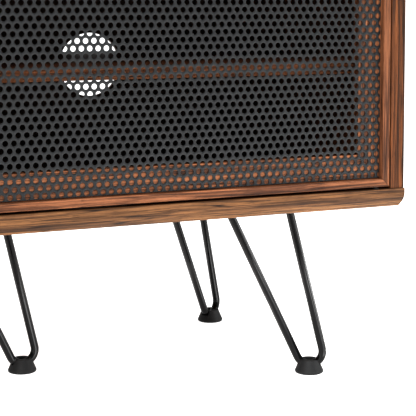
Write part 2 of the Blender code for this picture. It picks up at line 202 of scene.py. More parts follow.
def stand_on(place, axis, spin=0.0):
    """The matrix that puts a piece turned about Z at a place, pointing along an axis."""
    turn = axis.to_track_quat("Z", "Y").to_matrix().to_4x4()
    return Matrix.Translation(place) @ turn @ Matrix.Rotation(spin, 4, "Z")


def arc(centre, radius, first, last, steps):
    """Points of an arc as (radius, height) pairs, between two angles in degrees."""
    angles = [math.radians(first + (last - first) * step / steps) for step in range(steps + 1)]
    return [(centre[0] + radius * math.cos(a), centre[1] + radius * math.sin(a)) for a in angles]


def solid_of(target, *others, operation="DIFFERENCE"):
    """The mesh of one bmesh with others cut from it or joined to it by exact Booleans."""
    holders = []
    for bm in (target, *others):
        bmesh.ops.recalc_face_normals(bm, faces=bm.faces)
        holders.append(link(bpy.data.objects.new("solid", mesh_of(bm))))
    for other in holders[1:]:
        modifier = holders[0].modifiers.new("boolean", "BOOLEAN")
        modifier.operation = operation
        modifier.solver = "EXACT"
        modifier.object = other
    evaluated = holders[0].evaluated_get(bpy.context.evaluated_depsgraph_get())
    result = bpy.data.meshes.new_from_object(evaluated)
    for holder in holders:
        bpy.data.objects.remove(holder)
    return result


def copies(mesh, matrices):
    """One bmesh that holds a copy of a small mesh at each matrix."""
    bm = bmesh.new()
    for matrix in matrices:
        first_new = len(bm.verts)
        bm.from_mesh(mesh)
        bm.verts.ensure_lookup_table()
        bmesh.ops.transform(bm, matrix=matrix, verts=bm.verts[first_new:])
    return bm


def tube_bmesh(points, radius, sides=28):
    """A round tube with flat ends along a list of points that lie in one plane."""
    ahead = [(b - a).normalized() for a, b in zip(points, points[1:])]
    turns = [a.cross(b) for a, b in zip(ahead, ahead[1:])]
    normal = max(turns, key=lambda turn: turn.length).normalized()
    bm = bmesh.new()
    rings = []
    for index, point in enumerate(points):
        before, after = ahead[max(index - 1, 0)], ahead[min(index, len(ahead) - 1)]
        along = (before + after).normalized()
        across = along.cross(normal)
        widen = 1 / max(along.dot(before), 0.5)
        ring = []
        for side in range(sides):
            angle = 2 * math.pi * side / sides
            offset = across * math.cos(angle) * widen + normal * math.sin(angle)
            ring.append(bm.verts.new(point + radius * offset))
        rings.append(ring)
    for first, second in zip(rings, rings[1:]):
        for side in range(sides):
            after = (side + 1) % sides
            bm.faces.new((first[side], first[after], second[after], second[side]))
    bm.faces.new(rings[0])
    bm.faces.new(rings[-1])
    return bm


def middle_of(node):
    low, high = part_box(node)
    return (low + high) / 2


def turned_piece(node, profile, matrix, sides, material, body, closed=False):
    """A turned piece that takes the place of a CAD node."""
    piece_from(turned_bmesh(profile, matrix, sides, closed), f"{node}_turned", material, body,
               [node])


# -------- materials

def srgb(red, green, blue):
    """A colour given as 0 to 255 display values, as the linear values that shaders take."""
    def linear(value):
        value /= 255
        return value / 12.92 if value <= 0.04045 else ((value + 0.055) / 1.055) ** 2.4
    return (linear(red), linear(green), linear(blue), 1.0)


def shade(colour, factor):
    return srgb(*[value * factor for value in colour])


def add_node(tree, kind, inputs=None, **settings):
    """Add a shader node, set its options, and set or link its inputs."""
    node = tree.nodes.new("ShaderNode" + kind)
    for key, value in settings.items():
        setattr(node, key, value)
    for key, value in (inputs or {}).items():
        connect(tree, node.inputs[key], value)
    return node


def connect(tree, socket, value):
    if isinstance(value, bpy.types.NodeSocket):
        tree.links.new(value, socket)
    else:
        socket.default_value = value


def vector_maths(tree, operation, first, second):
    return add_node(tree, "VectorMath", {0: first, 1: second}, operation=operation).outputs[0]


def scaled(tree, vector, scale):
    """A vector stretched by a factor along each axis."""
    return vector_maths(tree, "MULTIPLY", vector, scale)


def noise(tree, vector, scale, detail=2.0, roughness=0.5):
    """Noise in 0 to 1, its scale in cells per metre, the same or given along each axis."""
    if isinstance(scale, int):
        scale = (scale, scale, scale)
    inputs = {"Vector": scaled(tree, vector, scale), "Scale": 1.0, "Detail": detail,
              "Roughness": roughness}
    return add_node(tree, "TexNoise", inputs).outputs["Fac"]


def remap(tree, value, low, high, to_low=0.0, to_high=1.0):
    """Map a value from one range smoothly to another, and clamp it there."""
    inputs = {"Value": value, "From Min": low, "From Max": high, "To Min": to_low, "To Max": to_high}
    return add_node(tree, "MapRange", inputs, interpolation_type="SMOOTHSTEP").outputs["Result"]


def maths(tree, operation, first, second=0.0):
    return add_node(tree, "Math", {0: first, 1: second}, operation=operation).outputs[0]


def mixed(tree, factor, first, second, kind="RGBA"):
    """A blend of two colours or vectors: the first at factor 0, the second at 1."""
    node = add_node(tree, "Mix", data_type=kind)
    ends = [socket for socket in node.inputs if socket.type == kind][-2:]
    for socket, value in zip((node.inputs["Factor"], *ends), (factor, first, second)):
        connect(tree, socket, value)
    return [socket for socket in node.outputs if socket.type == kind][0]


def bumped(tree, height, depth):
    """A normal from a height in 0 to 1 that stands for a depth in metres."""
    return add_node(tree, "Bump", {"Height": height, "Distance": depth}).outputs["Normal"]


def new_material(name):
    """A material with its node tree, its shader and the socket that gives a point's place."""
    material = bpy.data.materials.new(name)
    material.use_nodes = True
    tree = material.node_tree
    place = add_node(tree, "TexCoord").outputs["Object"]
    return material, tree, tree.nodes["Principled BSDF"], place


def feed(tree, shader, **sockets):
    """Set the shader's sockets by name, and link those that vary over the surface."""
    for name, value in sockets.items():
        connect(tree, shader.inputs[name.replace("_", " ")], value)


def wandering(tree, source, scale, reach):
    """The vector moved sideways by a slow noise, so that lines drawn along X wander."""
    inputs = {"Vector": scaled(tree, source, scale), "Scale": 1.0, "Detail": 2.0}
    wander = add_node(tree, "TexNoise", inputs).outputs["Color"]
    centred = vector_maths(tree, "SUBTRACT", wander, (0.5, 0.5, 0.5))
    return vector_maths(tree, "ADD", source, scaled(tree, centred, (0, reach, reach)))


def contour_lines(tree, vector, scale, count, width):
    """Thin lines along the contours of a stretched noise: 1 on a line, 0 between lines."""
    level = maths(tree, "FRACT", maths(tree, "MULTIPLY", noise(tree, vector, scale), count))
    away = maths(tree, "ABSOLUTE", maths(tree, "SUBTRACT", level, 0.5))
    return remap(tree, away, 0.0, width, 1.0, 0.0)


def walnut_figure(tree, grain, light, middle, brown, dark, contrast):
    """Colour, roughness and height of walnut whose grain runs along X of the grain vector."""
    # Growth lines, some bolder than others, and hair lines between them
    growth = contour_lines(tree, grain, (3, 110, 110), 10, 0.2)
    boldness = remap(tree, noise(tree, grain, (5, 150, 150)), 0.35, 0.65, 0.2, 1.0)
    hair_lines = contour_lines(tree, grain, (7, 330, 330), 4, 0.25)

    # Dark mineral streaks, fibres and pores, each stretched along the grain
    streak = remap(tree, noise(tree, grain, (3, 230, 230), 4.0, 0.6), 0.50, 0.58)
    fibre = noise(tree, grain, (11, 460, 460), 4.0, 0.7)
    pore = remap(tree, noise(tree, grain, (110, 2600, 2600), 1.0), 0.60, 0.70)
    tone = noise(tree, grain, (1.6, 34, 34))

    colour = mixed(tree, remap(tree, tone, 0.35, 0.65), srgb(*middle), srgb(*light))
    colour = mixed(tree, maths(tree, "MULTIPLY", streak, 0.8), colour, srgb(*brown))
    colour = mixed(tree, maths(tree, "MULTIPLY", hair_lines, 0.65), colour, srgb(*brown))
    colour = mixed(tree, maths(tree, "MULTIPLY", growth, boldness), colour, srgb(*dark))
    brightness = remap(tree, fibre, 0.34, 0.66, 1 - 0.38 * contrast, 1 + 0.28 * contrast)
    colour = add_node(tree, "VectorMath", {0: colour, "Scale": brightness},
                      operation="SCALE").outputs[0]
    colour = mixed(tree, maths(tree, "MULTIPLY", pore, 0.5), colour, srgb(*dark))

    rough = maths(tree, "ADD", maths(tree, "MULTIPLY", fibre, 0.12),
                  maths(tree, "MULTIPLY", pore, 0.15))
    height = maths(tree, "SUBTRACT", maths(tree, "MULTIPLY", fibre, 0.5),
                   maths(tree, "MULTIPLY", pore, 0.5))
    return colour, maths(tree, "ADD", rough, 0.42), height


def walnut_group(name, *shades, contrast=1.0):
    """A node group of walnut grain along X, from a light, a middle, a brown and a dark shade."""
    group = bpy.data.node_groups.new(name, "ShaderNodeTree")
    group.interface.new_socket("Vector", in_out="INPUT", socket_type="NodeSocketVector")
    for output, kind in (("Color", "Color"), ("Roughness", "Float"), ("Height", "Float")):
        group.interface.new_socket(output, in_out="OUTPUT", socket_type="NodeSocket" + kind)
    source = group.nodes.new("NodeGroupInput").outputs["Vector"]
    grain = wandering(group, source, (1.8, 14, 14), 20 * MM)
    grain = wandering(group, grain, (14, 60, 60), 1.8 * MM)
    values = walnut_figure(group, grain, *shades, contrast)
    output = group.nodes.new("NodeGroupOutput")
    for socket, value in zip(("Color", "Roughness", "Height"), values):
        group.links.new(value, output.inputs[socket])
    return group


def toward_x(grain):
    """The turn, about Y or Z, that lays a board's grain direction along X."""
    return {"x": Matrix.Identity(3), "y": Matrix.Rotation(-math.pi / 2, 3, "Z"),
            "z": Matrix.Rotation(math.pi / 2, 3, "Y")}[grain]


def grain_vector(tree, place, grain, start):
    """A point's place in the grain's own coordinates, in which the wood grew along X."""
    mapping = {"Vector": place, "Rotation": toward_x(grain).to_euler(), "Location": start}
    return add_node(tree, "Mapping", mapping).outputs[0]


def walnut(node, group, grain, spread=0.11, banded_ends=False):
    """Walnut laminate for one board, with a figure of its own and grain along x, y or z.

    Banded ends have their own strip of laminate, with its grain along y.
    """
    material, tree, shader, place = new_material(f"{group.name}_{node}")
    figure = Vector((DICE.uniform(-40, 40), DICE.uniform(-spread, spread),
                     DICE.uniform(0.4 * spread, spread)))
    vector = grain_vector(tree, place, grain, figure - toward_x(grain) @ middle_of(node))
    if banded_ends:
        banding = grain_vector(tree, place, "y", 0.7 * figure)
        normal = add_node(tree, "SeparateXYZ", {0: place.node.outputs["Normal"]}).outputs["X"]
        is_end = maths(tree, "GREATER_THAN", maths(tree, "ABSOLUTE", normal), 0.6)
        vector = mixed(tree, is_end, vector, banding, "VECTOR")
    wood = add_node(tree, "Group", node_tree=group)
    tree.links.new(vector, wood.inputs["Vector"])
    feed(tree, shader, Base_Color=wood.outputs["Color"], Roughness=wood.outputs["Roughness"],
         Normal=bumped(tree, wood.outputs["Height"], 0.12 * MM), Specular_IOR_Level=0.15)
    return material


def hardboard(name, colour):
    """Thin brown hardboard for the back panels: flecked fibres and cloudy patches."""
    material, tree, shader, place = new_material(name)
    flecks = noise(tree, place, 900, 3.0, 0.65)
    clouds = noise(tree, place, 14)
    base = mixed(tree, remap(tree, clouds, 0.3, 0.7), srgb(*colour), shade(colour, 0.86))
    base = mixed(tree, remap(tree, flecks, 0.55, 0.72, 0, 0.5), base, shade(colour, 0.55))
    feed(tree, shader, Base_Color=base, Roughness=remap(tree, flecks, 0.2, 0.8, 0.62, 0.78),
         Normal=bumped(tree, flecks, 0.10 * MM))
    return material


def powder_coat(name, colour, roughness, peel_depth, specular):
    """Black powder coat on steel: fine orange-peel bumps, satin and a little dusty."""
    material, tree, shader, place = new_material(name)
    peel = noise(tree, place, 1500, 2.0, 0.55)
    dust = noise(tree, place, 45, 4.0, 0.6)
    base = mixed(tree, remap(tree, dust, 0.45, 0.8, 0, 0.5), srgb(*colour), shade(colour, 1.4))
    rough = remap(tree, peel, 0.2, 0.8, roughness, roughness + 0.10)
    feed(tree, shader, Base_Color=base, Roughness=rough, Normal=bumped(tree, peel, peel_depth),
         Specular_IOR_Level=specular)
    return material


def rubber(name):
    """Moulded rubber: matte, finely grained, a little scuffed."""
    material, tree, shader, place = new_material(name)
    grain = noise(tree, place, 2200)
    scuffs = noise(tree, place, (160, 160, 700), 4.0, 0.7)
    base = mixed(tree, remap(tree, scuffs, 0.5, 0.75, 0, 0.6), srgb(22, 23, 24), srgb(46, 46, 46))
    feed(tree, shader, Base_Color=base, Roughness=remap(tree, scuffs, 0.3, 0.8, 0.55, 0.75),
         Normal=bumped(tree, grain, 0.06 * MM), Specular_IOR_Level=0.3)
    return material


def plated_steel(name, level):
    """Plated steel, or a darker copy of it painted as shade: faint turning marks and patches of
    duller plating.
    """
    material, tree, shader, place = new_material(name)
    marks = noise(tree, place, (700, 700, 4200))
    patches = noise(tree, place, 220, 3.0, 0.6)
    base = mixed(tree, patches, shade((0.99, 1, 1.02), level), shade((1, 1, 1), 0.8 * level))
    feed(tree, shader, Base_Color=base, Metallic=1.0,
         Roughness=remap(tree, patches, 0.3, 0.7, 0.24, 0.42), Normal=bumped(tree, marks, 0.02 * MM))
    return material


def nylon(name, colour):
    """Moulded nylon: a fine spark-eroded texture."""
    material, tree, shader, place = new_material(name)
    texture = noise(tree, place, 1800)
    flow = noise(tree, place, (90, 90, 40))
    base = mixed(tree, flow, srgb(*colour), shade(colour, 1.25))
    feed(tree, shader, Base_Color=base, Roughness=remap(tree, texture, 0.2, 0.8, 0.42, 0.56),
         Normal=bumped(tree, texture, 0.04 * MM))
    return material


def studio_white(name, glow):
    """A matte white that glows, for the floor and the reflector cards."""
    material, tree, shader, place = new_material(name)
    cloud = noise(tree, place, 3, 3.0)
    base = mixed(tree, cloud, srgb(252, 252, 252), srgb(248, 248, 248))
    feed(tree, shader, Base_Color=base, Roughness=0.7, Specular_IOR_Level=0.1,
         Emission_Color=(1, 1, 1, 1), Emission_Strength=glow)
    return material


# The ledge, seen only through the sheet's holes, is painted far paler and with weaker grain than the
# wood round it: painted light that makes up for the shade behind the sheet
PLANK = walnut_group("walnut_plank", (138, 98, 64), (118, 82, 52), (68, 46, 31), (29, 20, 16))
LIP = walnut_group("walnut_lip", (138, 89, 60), (118, 75, 50), (76, 47, 32), (34, 22, 18))
LEDGE_PAINTED_LIGHT = walnut_group("walnut_ledge_painted_light", (255, 194, 118), (255, 188, 110), (252, 176, 100),
                     (244, 164, 92), contrast=0.3)
CASE = walnut_group("walnut_case", (122, 73, 39), (92, 54, 30), (40, 25, 16), (14, 9, 7))
BLACK = powder_coat("black_powder_coat", (5, 5, 6), 0.10, 0.004 * MM, 0.20)
SHEET_BLACK = powder_coat("sheet_powder_coat", (28, 29, 30), 0.28, 0.02 * MM, 0.28)
# A near-black, matte copy of the sheet's coat: painted shade on the walls of the holes and the
# sheet's cut edges
HOLE_WALL_SHADE = powder_coat("hole_wall_painted_shade", (7, 7, 7), 0.8, 0.02 * MM, 0.05)
RUBBER = rubber("black_rubber")
STEEL = plated_steel("zinc_plated_steel", 190)
# The pivot pins' plain steel is painted dark: painted shade for the shaded gaps above and below the
# doors
PIN_STEEL_PAINTED_DARK = plated_steel("pin_steel_painted_shade", 52)
NYLON = nylon("black_nylon", (38, 38, 40))
CAP_BROWN = nylon("brown_cover_caps", (84, 56, 40))
BACK_BOARD = hardboard("brown_hardboard", (78, 52, 36))


# -------- boards

def outer_board(node, outward):
    """The top or bottom board, its edge curving in towards the outer face at the front and ends."""
    low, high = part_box(node)
    middle = (low + high) / 2
    outer_face = high.z if outward > 0 else low.z
    start = outer_face - outward * EDGE_TAPER_HEIGHT
    bm = box_bmesh(low, high)
    steps = 14
    for step in range(steps):
        bisect(bm, (0, 0, start + outward * EDGE_TAPER_HEIGHT * step / steps), UP)
    for vert in bm.verts:
        share = max(0.0, outward * (vert.co.z - start)) / EDGE_TAPER_HEIGHT
        inset = EDGE_TAPER * share ** 2
        vert.co.x -= math.copysign(inset, vert.co.x - middle.x)
        if vert.co.y < middle.y:
            vert.co.y += inset
    ease(bm, [edge for edge in bm.edges if edge.calc_face_angle(0) > math.radians(45)], EDGE_RADIUS)
    board_piece(mesh_of(bm), node, walnut(node, PLANK, "x", banded_ends=True))


def shelf_pins(word):
    return [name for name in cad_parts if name.startswith(f"shelf_pin_{word}_")]


def panel(node, faces):
    """An upright board with rows of shelf-pin holes in each of the faces at the listed X."""
    low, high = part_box(node)
    pins = shelf_pins("middle")
    depths = sorted({round(middle_of(name).y, 4) for name in pins})
    height = middle_of(pins[0]).z
    row_pitch, bore_radius, depth = 32 * MM, 2.65 * MM, 9 * MM
    places = [Vector((face, y, height + row * row_pitch)) for face in faces for y in depths
              for row in (-1, 0, 1)]
    mesh = solid_of(box_bmesh(low, high, EDGE_RADIUS),
                    cylinder_bmesh(places, RIGHT, bore_radius, 2 * depth, 24))
    board_piece(mesh, node, walnut(node, CASE, "z"))


def build_boards():
    outer_board("top_board", 1)
    outer_board("bottom_board", -1)
    for side, word in SIDES:
        low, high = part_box(f"side_panel_{word}")
        panel(f"side_panel_{word}", [low.x if side > 0 else high.x])
        low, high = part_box(f"divider_{word}")
        panel(f"divider_{word}", [low.x, high.x])
    for _, word in BAYS:
        node = f"shelf_{word}"
        shelf = mesh_of(box_bmesh(*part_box(node), EDGE_RADIUS))
        board_piece(shelf, node, walnut(node, LIP, "x"))


def build_back_panels():
    """Thin panels, each with a round cable hole."""
    for bay, word in BAYS:
        node = f"back_panel_{word}"
        low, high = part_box(node)
        hole = (low + high) / 2 + Vector((bay * CABLE_HOLE_OFFSET, 0, -CABLE_HOLE_DROP))
        cutter = cylinder_bmesh([hole], BACK, CABLE_HOLE_RADIUS, 4 * (high.y - low.y), 96)
        mesh = solid_of(box_bmesh(low, high, 0.2 * MM, 1), cutter)
        piece_of(mesh, f"{node}_finished", BACK_BOARD, "carcass", [node])


# -------- fixings of the cabinet

def pan_head(radius, height):
    """The mesh of a low domed screw head with a cross recess, its base at the origin."""
    dome = [(radius * math.sin(math.radians(a)), height * (0.35 + 0.65 * math.cos(math.radians(a))))
            for a in (0, 15, 30, 45, 60, 75, 90)]
    head = turned_bmesh(dome + [(radius, 0), (0, 0)], sides=32)
    arm, blade, floor = 0.52 * radius, 0.13 * radius, 0.35 * height
    bars = [box_bmesh((-x, -y, floor), (x, y, 2 * height)) for x, y in ((arm, blade), (blade, arm))]
    return solid_of(head, *bars)


def cover_cap():
    """A push-in cap that hides a fitting: a shallow dome with a rounded rim."""
    radius, height = 8.5 * MM, 1.1 * MM
    rim = arc((radius - 0.5 * MM, height - 0.7 * MM), 0.5 * MM, 70, 0, 4)
    profile = [(0, height), (0.5 * radius, height - 0.05 * MM)] + rim + [(radius, 0), (0, 0)]
    return mesh_of(turned_bmesh(profile, sides=40))


def scatter(name, small, places, material=STEEL, body="carcass"):
    """Copies of a small mesh at (place, axis) pairs, each at its own chance turn, as one piece."""
    matrices = [stand_on(place, axis, DICE.uniform(0, math.pi)) for place, axis in places]
    piece_from(copies(small, matrices), name, material, body)


def uprights():
    """The side panels and dividers, as (side, node, low corner, high corner)."""
    for side, word in SIDES:
        for kind in ("side_panel", "divider"):
            node = f"{kind}_{word}"
            yield side, node, *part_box(node)


def build_cam_caps():
    """Caps over the cam fittings, inside each panel near its lower and upper ends."""
    from_front, from_rear, from_end = 62 * MM, 75 * MM, 26 * MM
    cap = cover_cap()
    for side, node, low, high in uprights():
        face = low.x if (side > 0) == node.startswith("side_panel") else high.x
        inward = RIGHT if face == high.x else -RIGHT
        places = [(Vector((face, y, z)), inward)
                  for y in (low.y + from_front, high.y - from_rear)
                  for z in (low.z + from_end, high.z - from_end)]
        scatter(f"cam_caps_{node}", cap, places, CAP_BROWN)


def flush_head():
    """The mesh of a countersunk screw head with a cross recess, its face just above Z = 0."""
    radius, arm, blade = 4.6 * MM, 2.1 * MM, 0.45 * MM
    disc = turned_bmesh([(0, 0.25 * MM), (radius - 0.4 * MM, 0.25 * MM), (radius, 0.1 * MM),
                         (radius, -0.2 * MM), (0, -0.2 * MM)], sides=32)
    bars = [box_bmesh((-x, -y, -0.1 * MM), (x, y, 1 * MM)) for x, y in ((arm, blade), (blade, arm))]
    return solid_of(disc, *bars)


def build_base_screws():
    """Countersunk screws up through the bottom board into the ends of the four panels."""
    from_edge, off_middle = 40 * MM, 1.5 * MM
    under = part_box("bottom_board")[0].z
    head = flush_head()
    for side, node, low, high in uprights():
        shift = side * off_middle if node.startswith("side_panel") else 0
        places = [(Vector(((low.x + high.x) / 2 - shift, y, under)), -UP)
                  for y in (low.y + from_edge, (low.y + high.y) / 2, high.y - from_edge)]
        scatter(f"base_screws_{node}", head, places)


def wedge_mesh(size):
    """A small wedge standing on Z = 0 against a panel at Y = 0, thinner at its upper end."""
    bm = box_bmesh((0, 0, 0), size)
    for vert in bm.verts:
        if vert.co.y > size.y / 2 and vert.co.z > size.z / 2:
            vert.co.y -= 0.55 * size.y
    ease(bm, bm.edges, 0.4 * MM)
    return mesh_of(bm)


def build_back_wedges():
    """Small wedges nailed behind each back panel, along the top and bottom boards."""
    panel_gap, board_gap, depth = 0.1 * MM, 0.2 * MM, 5.5 * MM
    nail = mesh_of(turned_bmesh([(0, 0.8 * MM), (1.0 * MM, 0.7 * MM), (1.4 * MM, 0.3 * MM),
                                 (1.4 * MM, -0.6 * MM), (0, -0.6 * MM)], sides=20))
    for _, word in BAYS:
        low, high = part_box(f"back_panel_{word}")
        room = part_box("top_board")[1].y - high.y - 2 * panel_gap
        size = Vector((16 * MM, min(depth, room), 9 * MM))
        wedge = wedge_mesh(size)
        stands, nails = [], []
        for share in (0.08, 0.36, 0.64, 0.92):
            x = low.x + share * (high.x - low.x)
            for level, up in ((low.z - board_gap, 1), (high.z + board_gap, -1)):
                corner = Vector((x - size.x / 2, high.y + panel_gap, level))
                stands.append(Matrix.Translation(corner) @ Matrix.Diagonal((1, 1, up, 1)))
                nails.append((Vector((x, high.y + 0.56 * size.y, level + up * 0.62 * size.z)),
                              Vector((0, 0.87, up * 0.5))))
        piece_from(copies(wedge, stands), f"back_wedges_{word}", CAP_BROWN, "carcass")
        scatter(f"back_nails_{word}", nail, nails)


def build_shelf_pins():
    """Steel pegs with a domed end and a turned groove."""
    dome, groove_depth, chamfer = 1.2 * MM, 0.35 * MM, 0.4 * MM
    for _, word in BAYS:
        for node in shelf_pins(word):
            low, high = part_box(node)
            length, radius = high.x - low.x, (high.z - low.z) / 2
            tip = arc((radius - dome, length - dome), dome, 90, 0, 5)
            bottom = radius - groove_depth
            groove = [(radius, 0.62 * length), (bottom, 0.60 * length), (bottom, 0.56 * length),
                      (radius, 0.54 * length)]
            root = [(radius, chamfer), (radius - chamfer, 0), (0, 0)]
            profile = [(0, length)] + tip + groove + root
            right_hand = node.endswith("_r")
            start = Vector((high.x if right_hand else low.x, middle_of(node).y, middle_of(node).z))
            matrix = stand_on(start, -RIGHT if right_hand else RIGHT)
            turned_piece(node, profile, matrix, 32, STEEL, "carcass")


# -------- doors

def frame_member(length, width, depth, rebate):
    """One mitred side of a door frame along X, with its raised lip and the ledge behind it."""
    section = [(0, 0), (LIP_WIDTH, 0), (LIP_WIDTH, rebate), (width, rebate), (width, depth),
               (0, depth)]
    bm = bmesh.new()
    start = [bm.verts.new((0, y, z)) for z, y in section]
    far_end = extruded(bm, [bm.faces.new(start)])
    for vert in bm.verts:
        mitre = vert.co.z + MITRE_GAP
        vert.co.x = length - mitre if vert in far_end else mitre
    bmesh.ops.recalc_face_normals(bm, faces=bm.faces)
    # The ledge's face behind the sheet takes the second material, the walnut painted paler as light
    for face in bm.faces:
        if abs(face.normal.y) > 0.9 and abs(face.calc_center_median().y - rebate) < 0.1 * MM:
            face.material_index = 1
    ease(bm, [edge for edge in bm.edges if edge.is_convex], EDGE_RADIUS, 3)
    return bm


def build_door_frame(side, word):
    """Four members, each turned about Y from the bottom rail's place."""
    rail_low, rail_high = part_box(f"door_{word}_bottom_rail")
    low = rail_low - MITRE_GAP * RIGHT
    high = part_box(f"door_{word}_top_rail")[1] + MITRE_GAP * RIGHT
    width, depth = rail_high.z - rail_low.z, rail_high.y - rail_low.y
    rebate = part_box(f"door_{word}_mesh")[1].y + SHEET_GAP - low.y
    span, height = high.x - low.x, high.z - low.z
    quarter = math.pi / 2
    left, right = ("hinge", "free") if side < 0 else ("free", "hinge")
    members = (("bottom_rail", (low.x, low.y, low.z), 0, span, "x"),
               ("top_rail", (high.x, low.y, high.z), 2 * quarter, span, "x"),
               (f"{left}_stile", (low.x, low.y, high.z), quarter, height, "z"),
               (f"{right}_stile", (high.x, low.y, low.z), -quarter, height, "z"))
    for part, corner, turn, length, grain in members:
        bm = frame_member(length, width, depth, rebate)
        bm.transform(Matrix.Translation(corner) @ Matrix.Rotation(turn, 4, "Y"))
        node = f"door_{word}_{part}"
        lip = walnut(node, LIP, grain, 0.06)
        member = board_piece(mesh_of(bm), node, lip, f"door_{word}")
        # The rebate's ledge takes the paler walnut, painted light that makes up for the shade behind
        # the sheet
        member.data.materials.append(walnut(node, LEDGE_PAINTED_LIGHT, grain, 0.06))


def cell_point(centre, reach, degrees, depth=0.0):
    """A point at a distance and angle from a cell's centre, and at a depth behind the front."""
    angle = math.radians(degrees)
    return (centre.x + reach * math.cos(angle), depth, centre.y + reach * math.sin(angle))


def add_cell(bm, centre):
    """A six-sided cell of the sheet, its round hole's edge drawn in a little by the punch."""
    per_side = HOLE_SIDES // 6
    corners = [bm.verts.new(cell_point(centre, PITCH / math.sqrt(3), 30 + 60 * k)) for k in range(6)]
    turns = [30 + 360 * k / HOLE_SIDES for k in range(HOLE_SIDES)]
    rim = [bm.verts.new(cell_point(centre, HOLE_RADIUS + ROLLOVER_WIDTH, turn)) for turn in turns]
    throat = [bm.verts.new(cell_point(centre, HOLE_RADIUS, turn, ROLLOVER_DEPTH)) for turn in turns]
    for k in range(6):
        inner = [rim[(k * per_side + step) % HOLE_SIDES] for step in range(per_side + 1)]
        bm.faces.new([corners[k], corners[(k + 1) % 6]] + inner[::-1])
    for k in range(HOLE_SIDES):
        after = (k + 1) % HOLE_SIDES
        bm.faces.new((rim[k], rim[after], throat[after], throat[k]))


def perforated_sheet(side, word):
    """A flat grid of six-sided cells with holes, trimmed to the sheet's size and thickened."""
    node = f"door_{word}_mesh"
    low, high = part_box(node)
    width, height = high.x - low.x, high.z - low.z
    row_step = PITCH * math.sqrt(3) / 2
    bm = bmesh.new()
    for row in range(-1, int(height / row_step) + 2):
        for column in range(-2, int(width / PITCH) + 2):
            add_cell(bm, Vector((FIRST_HOLE.x + (column + (row % 2) / 2) * PITCH,
                                 FIRST_HOLE.y + row * row_step)))
    bmesh.ops.remove_doubles(bm, verts=bm.verts, dist=0.01 * MM)
    for place, outward in (((0, 0, 0), -RIGHT), ((width, 0, 0), RIGHT), ((0, 0, 0), -UP),
                           ((0, 0, height), UP)):
        bisect(bm, place, outward, dist=0.001 * MM, clear_outer=True)
    for vert in extruded(bm, bm.faces[:]):
        vert.co.y = high.y - low.y
    bm.normal_update()
    hinge_edge = high.x if side > 0 else low.x
    bm.transform(Matrix.Translation((hinge_edge, low.y, low.z)) @ Matrix.Diagonal((-side, 1, 1, 1)))
    # The walls of the holes and the cut edges take the near-black coat, painted shade
    for face in bm.faces:
        if abs(face.normal.y) < 0.3:
            face.material_index = 1
    sheet = piece_from(bm, f"{node}_perforated", SHEET_BLACK, f"door_{word}", [node])
    sheet.data.materials.append(HOLE_WALL_SHADE)


def build_knob(word):
    """A turned knob with a hollowed neck, and the screw that holds it from behind the stile."""
    node = f"door_{word}_knob"
    low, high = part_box(node)
    length, radius = high.y - low.y, (high.z - low.z) / 2
    crown, rim, neck, base = 1.3 * MM, 1.6 * MM, 4 * MM, 6.5 * MM
    waist_top, waist_foot = length - 9 * MM, 3.4 * MM
    profile = [(radius * share, length - crown * share ** 2) for share in (0, 0.25, 0.5, 0.75)]
    profile += arc((radius - rim, length - crown - rim), rim, 75, -40, 8)
    for step in range(9):
        share = step / 8
        flare = math.cos(share * math.pi / 2)
        profile.append((neck + (0.86 * radius - neck) * flare ** 2.4,
                        waist_top + (waist_foot - waist_top) * share))
    profile += [(neck, 2.2 * MM), (base - 0.6 * MM, 1.5 * MM), (base, 0.9 * MM), (base, 0), (0, 0)]
    middle = middle_of(node)
    matrix = stand_on(Vector((middle.x, high.y, middle.z)), -BACK)
    turned_piece(node, profile, matrix, 64, BLACK, f"door_{word}")
    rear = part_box(f"door_{word}_free_stile")[1].y
    scatter(f"door_{word}_knob_screw", pan_head(4.2 * MM, 2.2 * MM),
            [(Vector((middle.x, rear, middle.z)), BACK)], body=f"door_{word}")


def build_pin(word, end, into):
    """A flanged pin let into the top or bottom board, and pointing into the door."""
    node = f"pivot_pin_{word}_{end}"
    low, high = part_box(node)
    middle = middle_of(node)
    root = low.z if into.z > 0 else high.z
    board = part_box(f"{end}_board")[1 if into.z > 0 else 0].z
    length, flange_radius = high.z - low.z, (high.x - low.x) / 2
    dome, edge, chamfer = 0.8 * MM, 0.3 * MM, 0.4 * MM
    seat = abs(board - root) + 0.2 * MM
    profile = [(0, length)] + arc((PIN_RADIUS - dome, length - dome), dome, 90, 0, 4)
    profile += [(PIN_RADIUS, seat + PIN_FLANGE), (flange_radius - edge, seat + PIN_FLANGE),
                (flange_radius, seat + PIN_FLANGE - edge), (flange_radius, seat),
                (PIN_RADIUS, seat), (PIN_RADIUS, chamfer), (PIN_RADIUS - chamfer, 0), (0, 0)]
    matrix = stand_on(Vector((middle.x, middle.y, root)), into)
    # The pin's steel is painted dark as shade, for the shaded gap it stands in
    turned_piece(node, profile, matrix, 40, PIN_STEEL_PAINTED_DARK, "carcass")


def build_bush(word, end):
    """The plain bush in a door's rail that turns on the pin."""
    node = f"door_{word}_{end}_bush"
    low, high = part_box(node)
    middle = middle_of(node)
    height, radius, edge = high.z - low.z, (high.x - low.x) / 2, 0.35 * MM
    ring = [(BUSH_BORE, edge), (BUSH_BORE + edge, 0), (radius - edge, 0), (radius, edge),
            (radius, height - edge), (radius - edge, height), (BUSH_BORE + edge, height),
            (BUSH_BORE, height - edge)]
    matrix = Matrix.Translation((middle.x, middle.y, low.z))
    turned_piece(node, ring, matrix, 40, NYLON, f"door_{word}", closed=True)


